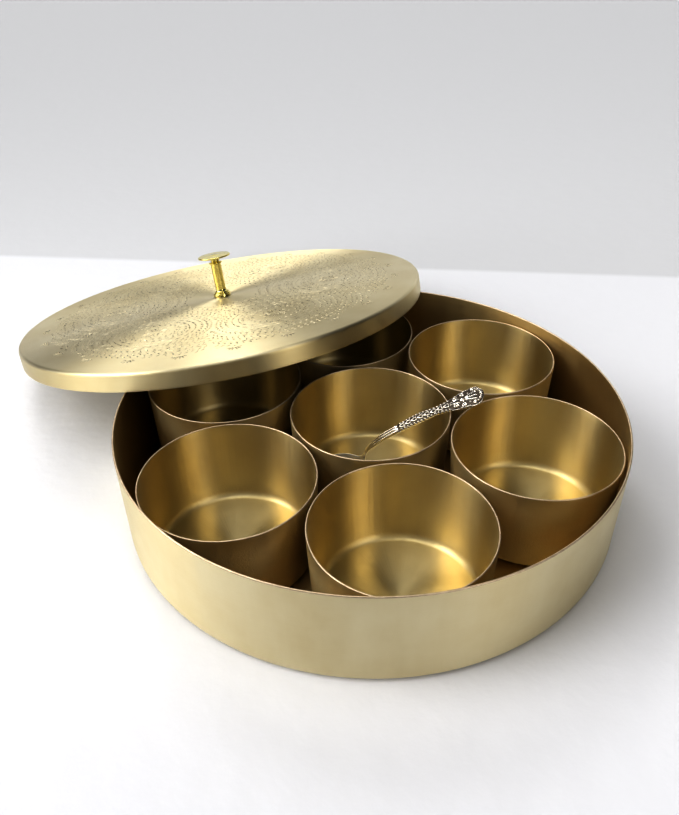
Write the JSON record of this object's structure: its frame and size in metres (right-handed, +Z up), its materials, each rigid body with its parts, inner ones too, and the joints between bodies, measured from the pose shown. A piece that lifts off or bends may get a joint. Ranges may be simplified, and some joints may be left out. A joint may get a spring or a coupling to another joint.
{
  "type": "spice box",
  "caption": "Round spice box of thin satin sheet with loose round bowls inside, a lift-off lid with a turned knob leaning behind it, and a small ornate spoon.",
  "frame": {"origin": "middle of the flat face under the box, on the surface that it stands on", "axes": "+Z up along the box's axis; -Y is the front, where the box is seen open; the lid leans towards -X +Y"},
  "size_m": [0.3455, 0.3761, 0.072],
  "materials": {
    "box_brass": "satin, finely brushed round its axis",
    "bowl_brass": "satin, brushed round its axis, grained outside",
    "lid_brass": "satin, brushed, with a fine chased pattern",
    "knob_brass": "polished",
    "washer_brass": "plain",
    "screw_steel": "bright zinc",
    "spoon_silver": "polished silver with dark patina in its relief"
  },
  "bodies": {
    "box": {"box_pan": "box_brass"},
    "lid": {"lid_plate": "lid_brass", "lid_knob": "knob_brass", "knob_washer": "washer_brass", "knob_screw": "screw_steel"},
    "bowl_centre": {"bowl_centre": "bowl_brass"},
    "bowl_right": {"bowl_right": "bowl_brass"},
    "bowl_back_right": {"bowl_back_right": "bowl_brass"},
    "bowl_back": {"bowl_back": "bowl_brass"},
    "bowl_back_left": {"bowl_back_left": "bowl_brass"},
    "bowl_left": {"bowl_left": "bowl_brass"},
    "bowl_front": {"bowl_front": "bowl_brass"},
    "spoon": {"spoon": "spoon_silver"}
  },
  "joints": [
    {"name": "lid_lift", "type": "slide", "parent": "box", "child": "lid", "axis": [0, 0, 1], "range_m": [0, 0.15]},
    {"name": "bowl_centre_lift", "type": "slide", "parent": "box", "child": "bowl_centre", "axis": [0, 0, 1], "range_m": [0, 0.016]},
    {"name": "bowl_right_lift", "type": "slide", "parent": "box", "child": "bowl_right", "axis": [0, 0, 1], "range_m": [0, 0.002]},
    {"name": "bowl_back_right_lift", "type": "slide", "parent": "box", "child": "bowl_back_right", "axis": [0, 0, 1], "range_m": [0, 0.09]},
    {"name": "bowl_back_lift", "type": "slide", "parent": "box", "child": "bowl_back", "axis": [0, 0, 1], "range_m": [0, 0.005]},
    {"name": "bowl_back_left_lift", "type": "slide", "parent": "box", "child": "bowl_back_left", "axis": [0, 0, 1], "range_m": [0, 0.006]},
    {"name": "bowl_left_lift", "type": "slide", "parent": "box", "child": "bowl_left", "axis": [0, 0, 1], "range_m": [0, 0.09]},
    {"name": "bowl_front_lift", "type": "slide", "parent": "box", "child": "bowl_front", "axis": [0, 0, 1], "range_m": [0, 0.09]},
    {"name": "spoon_lift", "type": "slide", "parent": "bowl_centre", "child": "spoon", "axis": [0, 0, 1], "range_m": [0, 0.07]}
  ]
}
